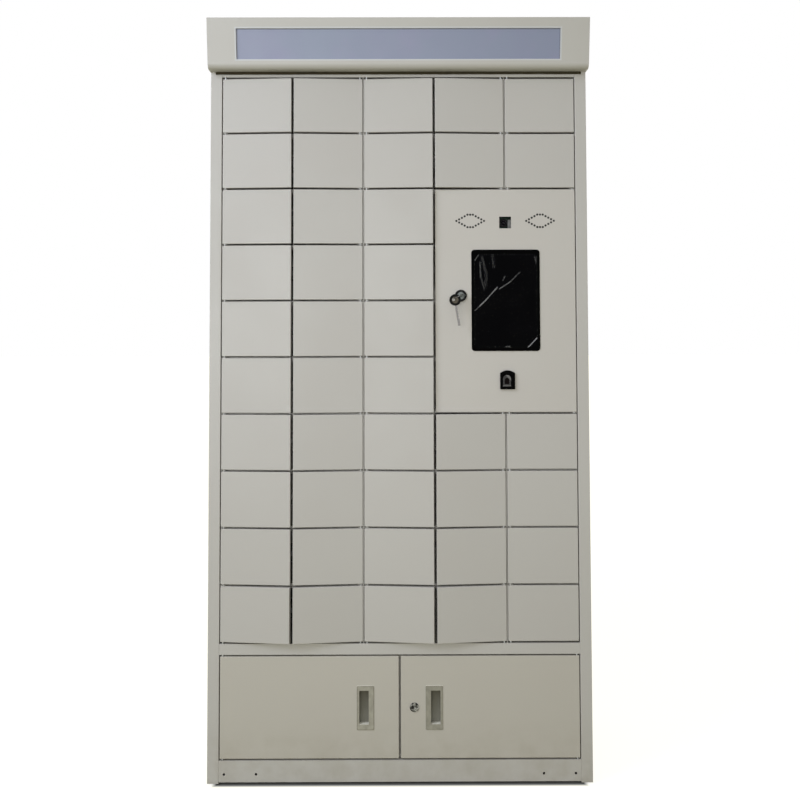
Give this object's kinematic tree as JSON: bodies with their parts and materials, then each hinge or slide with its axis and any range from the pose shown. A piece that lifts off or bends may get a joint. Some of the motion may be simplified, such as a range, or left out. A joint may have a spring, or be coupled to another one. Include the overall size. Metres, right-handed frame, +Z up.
{
  "type": "biometric locker",
  "caption": "Free-standing steel locker bank with small hinged electronic doors, a control door with touch screen, camera and fingerprint reader, and two lower doors.",
  "frame": {"origin": "on the ground under the middle of the whole object", "axes": "+Z up, the doors face -Y, +X is to the right seen from the front"},
  "size_m": [0.932, 0.457, 1.85],
  "materials": {
    "body_paint": "satin powder coat",
    "door_paint": "satin powder coat",
    "plated_steel": "zinc plated",
    "chrome": "polished",
    "black_plastic": "matte",
    "black_glass": "gloss",
    "sign_sheet": "translucent satin sheet",
    "circuit_board": "semi gloss"
  },
  "bodies": {
    "cabinet": {"carcass": "body_paint", "compartment_grid": "body_paint", "hinge_pins": "plated_steel", "latch_units": "black_plastic", "header_canopy": "body_paint", "sign_panel": "sign_sheet", "levelling_feet": "black_plastic", "electrics": "circuit_board"},
    "control_door": {"control_door": "door_paint", "touch_screen": "black_glass", "fingerprint_reader": "black_plastic", "camera_module": "black_plastic", "speakers": "black_plastic"},
    "lower_door_left": {"lower_door_left": "door_paint"},
    "lower_door_right": {"lower_door_right": "door_paint"},
    "control_key": {"control_lock_key": "plated_steel"},
    "spare_key": {"spare_key": "plated_steel"},
    "lower_lock": {"lower_lock_plug": "chrome"},
    "door_r01_c1": {"door_r01_c1": "door_paint"},
    "door_r01_c2": {"door_r01_c2": "door_paint"},
    "door_r01_c3": {"door_r01_c3": "door_paint"},
    "door_r01_c4": {"door_r01_c4": "door_paint"},
    "door_r01_c5": {"door_r01_c5": "door_paint"},
    "door_r02_c1": {"door_r02_c1": "door_paint"},
    "door_r02_c2": {"door_r02_c2": "door_paint"},
    "door_r02_c3": {"door_r02_c3": "door_paint"},
    "door_r02_c4": {"door_r02_c4": "door_paint"},
    "door_r02_c5": {"door_r02_c5": "door_paint"},
    "door_r03_c1": {"door_r03_c1": "door_paint"},
    "door_r03_c2": {"door_r03_c2": "door_paint"},
    "door_r03_c3": {"door_r03_c3": "door_paint"},
    "door_r04_c1": {"door_r04_c1": "door_paint"},
    "door_r04_c2": {"door_r04_c2": "door_paint"},
    "door_r04_c3": {"door_r04_c3": "door_paint"},
    "door_r05_c1": {"door_r05_c1": "door_paint"},
    "door_r05_c2": {"door_r05_c2": "door_paint"},
    "door_r05_c3": {"door_r05_c3": "door_paint"},
    "door_r06_c1": {"door_r06_c1": "door_paint"},
    "door_r06_c2": {"door_r06_c2": "door_paint"},
    "door_r06_c3": {"door_r06_c3": "door_paint"},
    "door_r07_c1": {"door_r07_c1": "door_paint"},
    "door_r07_c2": {"door_r07_c2": "door_paint"},
    "door_r07_c3": {"door_r07_c3": "door_paint"},
    "door_r07_c4": {"door_r07_c4": "door_paint"},
    "door_r07_c5": {"door_r07_c5": "door_paint"},
    "door_r08_c1": {"door_r08_c1": "door_paint"},
    "door_r08_c2": {"door_r08_c2": "door_paint"},
    "door_r08_c3": {"door_r08_c3": "door_paint"},
    "door_r08_c4": {"door_r08_c4": "door_paint"},
    "door_r08_c5": {"door_r08_c5": "door_paint"},
    "door_r09_c1": {"door_r09_c1": "door_paint"},
    "door_r09_c2": {"door_r09_c2": "door_paint"},
    "door_r09_c3": {"door_r09_c3": "door_paint"},
    "door_r09_c4": {"door_r09_c4": "door_paint"},
    "door_r09_c5": {"door_r09_c5": "door_paint"},
    "door_r10_c1": {"door_r10_c1": "door_paint"},
    "door_r10_c2": {"door_r10_c2": "door_paint"},
    "door_r10_c3": {"door_r10_c3": "door_paint"},
    "door_r10_c4": {"door_r10_c4": "door_paint"},
    "door_r10_c5": {"door_r10_c5": "door_paint"}
  },
  "joints": [
    {"name": "control_door_hinge", "type": "hinge", "parent": "cabinet", "child": "control_door", "pos_m": [0.4279, -0.1681, 1.1635], "axis": [0, 0, 1], "range_deg": [0, 100]},
    {"name": "lower_door_left_hinge", "type": "hinge", "parent": "cabinet", "child": "lower_door_left", "pos_m": [-0.4279, -0.1681, 0.1834], "axis": [0, 0, -1], "range_deg": [0, 100]},
    {"name": "lower_door_right_hinge", "type": "hinge", "parent": "cabinet", "child": "lower_door_right", "pos_m": [0.4279, -0.1681, 0.1834], "axis": [0, 0, 1], "range_deg": [0, 100]},
    {"name": "control_key_turn", "type": "hinge", "parent": "control_door", "child": "control_key", "pos_m": [0.152, -0.1615, 1.175], "axis": [0, -1, 0], "range_deg": [0, 90]},
    {"name": "spare_key_swing", "type": "hinge", "parent": "control_key", "child": "spare_key", "pos_m": [0.13236, -0.203, 1.16645], "axis": [0, -1, 0], "range_deg": [-90, 0]},
    {"name": "lower_lock_turn", "type": "hinge", "parent": "lower_door_right", "child": "lower_lock", "pos_m": [0.035, -0.1615, 0.183], "axis": [0, -1, 0], "range_deg": [0, 90]},
    {"name": "door_r01_c1_hinge", "type": "hinge", "parent": "cabinet", "child": "door_r01_c1", "pos_m": [-0.4279, -0.1681, 1.6458], "axis": [0, 0, -1], "range_deg": [-3.8, 86.2]},
    {"name": "door_r01_c2_hinge", "type": "hinge", "parent": "cabinet", "child": "door_r01_c2", "pos_m": [-0.095, -0.1681, 1.6458], "axis": [0, 0, 1], "range_deg": [-3.8, 86.2]},
    {"name": "door_r01_c3_hinge", "type": "hinge", "parent": "cabinet", "child": "door_r01_c3", "pos_m": [-0.079, -0.1681, 1.6458], "axis": [0, 0, -1], "range_deg": [-3.8, 86.2]},
    {"name": "door_r01_c4_hinge", "type": "hinge", "parent": "cabinet", "child": "door_r01_c4", "pos_m": [0.253, -0.1681, 1.6458], "axis": [0, 0, 1], "range_deg": [-3.8, 86.2]},
    {"name": "door_r01_c5_hinge", "type": "hinge", "parent": "cabinet", "child": "door_r01_c5", "pos_m": [0.269, -0.1681, 1.6458], "axis": [0, 0, -1], "range_deg": [0, 90]},
    {"name": "door_r02_c1_hinge", "type": "hinge", "parent": "cabinet", "child": "door_r02_c1", "pos_m": [-0.4279, -0.1681, 1.508], "axis": [0, 0, -1], "range_deg": [-3.8, 86.2]},
    {"name": "door_r02_c2_hinge", "type": "hinge", "parent": "cabinet", "child": "door_r02_c2", "pos_m": [-0.095, -0.1681, 1.508], "axis": [0, 0, 1], "range_deg": [-3.8, 86.2]},
    {"name": "door_r02_c3_hinge", "type": "hinge", "parent": "cabinet", "child": "door_r02_c3", "pos_m": [-0.079, -0.1681, 1.508], "axis": [0, 0, -1], "range_deg": [-3.8, 86.2]},
    {"name": "door_r02_c4_hinge", "type": "hinge", "parent": "cabinet", "child": "door_r02_c4", "pos_m": [0.253, -0.1681, 1.508], "axis": [0, 0, 1], "range_deg": [-3.8, 86.2]},
    {"name": "door_r02_c5_hinge", "type": "hinge", "parent": "cabinet", "child": "door_r02_c5", "pos_m": [0.269, -0.1681, 1.508], "axis": [0, 0, -1], "range_deg": [0, 90]},
    {"name": "door_r03_c1_hinge", "type": "hinge", "parent": "cabinet", "child": "door_r03_c1", "pos_m": [-0.4279, -0.1681, 1.3702], "axis": [0, 0, -1], "range_deg": [-3.8, 86.2]},
    {"name": "door_r03_c2_hinge", "type": "hinge", "parent": "cabinet", "child": "door_r03_c2", "pos_m": [-0.095, -0.1681, 1.3702], "axis": [0, 0, 1], "range_deg": [-3.8, 86.2]},
    {"name": "door_r03_c3_hinge", "type": "hinge", "parent": "cabinet", "child": "door_r03_c3", "pos_m": [-0.079, -0.1681, 1.3702], "axis": [0, 0, -1], "range_deg": [-3.8, 86.2]},
    {"name": "door_r04_c1_hinge", "type": "hinge", "parent": "cabinet", "child": "door_r04_c1", "pos_m": [-0.4279, -0.1681, 1.2324], "axis": [0, 0, -1], "range_deg": [-3.8, 86.2]},
    {"name": "door_r04_c2_hinge", "type": "hinge", "parent": "cabinet", "child": "door_r04_c2", "pos_m": [-0.095, -0.1681, 1.2324], "axis": [0, 0, 1], "range_deg": [-3.8, 86.2]},
    {"name": "door_r04_c3_hinge", "type": "hinge", "parent": "cabinet", "child": "door_r04_c3", "pos_m": [-0.079, -0.1681, 1.2324], "axis": [0, 0, -1], "range_deg": [-3.8, 86.2]},
    {"name": "door_r05_c1_hinge", "type": "hinge", "parent": "cabinet", "child": "door_r05_c1", "pos_m": [-0.4279, -0.1681, 1.0946], "axis": [0, 0, -1], "range_deg": [-3.8, 86.2]},
    {"name": "door_r05_c2_hinge", "type": "hinge", "parent": "cabinet", "child": "door_r05_c2", "pos_m": [-0.095, -0.1681, 1.0946], "axis": [0, 0, 1], "range_deg": [-3.8, 86.2]},
    {"name": "door_r05_c3_hinge", "type": "hinge", "parent": "cabinet", "child": "door_r05_c3", "pos_m": [-0.079, -0.1681, 1.0946], "axis": [0, 0, -1], "range_deg": [-3.8, 86.2]},
    {"name": "door_r06_c1_hinge", "type": "hinge", "parent": "cabinet", "child": "door_r06_c1", "pos_m": [-0.4279, -0.1681, 0.9568], "axis": [0, 0, -1], "range_deg": [-3.8, 86.2]},
    {"name": "door_r06_c2_hinge", "type": "hinge", "parent": "cabinet", "child": "door_r06_c2", "pos_m": [-0.095, -0.1681, 0.9568], "axis": [0, 0, 1], "range_deg": [-3.8, 86.2]},
    {"name": "door_r06_c3_hinge", "type": "hinge", "parent": "cabinet", "child": "door_r06_c3", "pos_m": [-0.079, -0.1681, 0.9568], "axis": [0, 0, -1], "range_deg": [-3.8, 86.2]},
    {"name": "door_r07_c1_hinge", "type": "hinge", "parent": "cabinet", "child": "door_r07_c1", "pos_m": [-0.4279, -0.1681, 0.819], "axis": [0, 0, -1], "range_deg": [-4.6, 85.4]},
    {"name": "door_r07_c2_hinge", "type": "hinge", "parent": "cabinet", "child": "door_r07_c2", "pos_m": [-0.095, -0.1681, 0.819], "axis": [0, 0, 1], "range_deg": [-4.6, 85.4]},
    {"name": "door_r07_c3_hinge", "type": "hinge", "parent": "cabinet", "child": "door_r07_c3", "pos_m": [-0.079, -0.1681, 0.819], "axis": [0, 0, -1], "range_deg": [-4.6, 85.4]},
    {"name": "door_r07_c4_hinge", "type": "hinge", "parent": "cabinet", "child": "door_r07_c4", "pos_m": [0.253, -0.1681, 0.819], "axis": [0, 0, 1], "range_deg": [-4.6, 85.4]},
    {"name": "door_r07_c5_hinge", "type": "hinge", "parent": "cabinet", "child": "door_r07_c5", "pos_m": [0.269, -0.1681, 0.819], "axis": [0, 0, -1], "range_deg": [0, 90]},
    {"name": "door_r08_c1_hinge", "type": "hinge", "parent": "cabinet", "child": "door_r08_c1", "pos_m": [-0.4279, -0.1681, 0.6812], "axis": [0, 0, -1], "range_deg": [-4.6, 85.4]},
    {"name": "door_r08_c2_hinge", "type": "hinge", "parent": "cabinet", "child": "door_r08_c2", "pos_m": [-0.095, -0.1681, 0.6812], "axis": [0, 0, 1], "range_deg": [-4.6, 85.4]},
    {"name": "door_r08_c3_hinge", "type": "hinge", "parent": "cabinet", "child": "door_r08_c3", "pos_m": [-0.079, -0.1681, 0.6812], "axis": [0, 0, -1], "range_deg": [-4.6, 85.4]},
    {"name": "door_r08_c4_hinge", "type": "hinge", "parent": "cabinet", "child": "door_r08_c4", "pos_m": [0.253, -0.1681, 0.6812], "axis": [0, 0, 1], "range_deg": [-4.6, 85.4]},
    {"name": "door_r08_c5_hinge", "type": "hinge", "parent": "cabinet", "child": "door_r08_c5", "pos_m": [0.269, -0.1681, 0.6812], "axis": [0, 0, -1], "range_deg": [0, 90]},
    {"name": "door_r09_c1_hinge", "type": "hinge", "parent": "cabinet", "child": "door_r09_c1", "pos_m": [-0.4279, -0.1681, 0.5434], "axis": [0, 0, -1], "range_deg": [-4.8, 85.2]},
    {"name": "door_r09_c2_hinge", "type": "hinge", "parent": "cabinet", "child": "door_r09_c2", "pos_m": [-0.095, -0.1681, 0.5434], "axis": [0, 0, 1], "range_deg": [-4.8, 85.2]},
    {"name": "door_r09_c3_hinge", "type": "hinge", "parent": "cabinet", "child": "door_r09_c3", "pos_m": [-0.079, -0.1681, 0.5434], "axis": [0, 0, -1], "range_deg": [-4.8, 85.2]},
    {"name": "door_r09_c4_hinge", "type": "hinge", "parent": "cabinet", "child": "door_r09_c4", "pos_m": [0.253, -0.1681, 0.5434], "axis": [0, 0, 1], "range_deg": [-4.8, 85.2]},
    {"name": "door_r09_c5_hinge", "type": "hinge", "parent": "cabinet", "child": "door_r09_c5", "pos_m": [0.269, -0.1681, 0.5434], "axis": [0, 0, -1], "range_deg": [0, 90]},
    {"name": "door_r10_c1_hinge", "type": "hinge", "parent": "cabinet", "child": "door_r10_c1", "pos_m": [-0.4279, -0.1681, 0.4056], "axis": [0, 0, -1], "range_deg": [-6.9, 83.1]},
    {"name": "door_r10_c2_hinge", "type": "hinge", "parent": "cabinet", "child": "door_r10_c2", "pos_m": [-0.095, -0.1681, 0.4056], "axis": [0, 0, 1], "range_deg": [-6.9, 83.1]},
    {"name": "door_r10_c3_hinge", "type": "hinge", "parent": "cabinet", "child": "door_r10_c3", "pos_m": [-0.079, -0.1681, 0.4056], "axis": [0, 0, -1], "range_deg": [-6.9, 83.1]},
    {"name": "door_r10_c4_hinge", "type": "hinge", "parent": "cabinet", "child": "door_r10_c4", "pos_m": [0.253, -0.1681, 0.4056], "axis": [0, 0, 1], "range_deg": [-6.9, 83.1]},
    {"name": "door_r10_c5_hinge", "type": "hinge", "parent": "cabinet", "child": "door_r10_c5", "pos_m": [0.269, -0.1681, 0.4056], "axis": [0, 0, -1], "range_deg": [0, 90]}
  ],
  "couplings": [
    {"joint": "spare_key_swing", "follows": "control_key_turn", "ratio": -1}
  ]
}
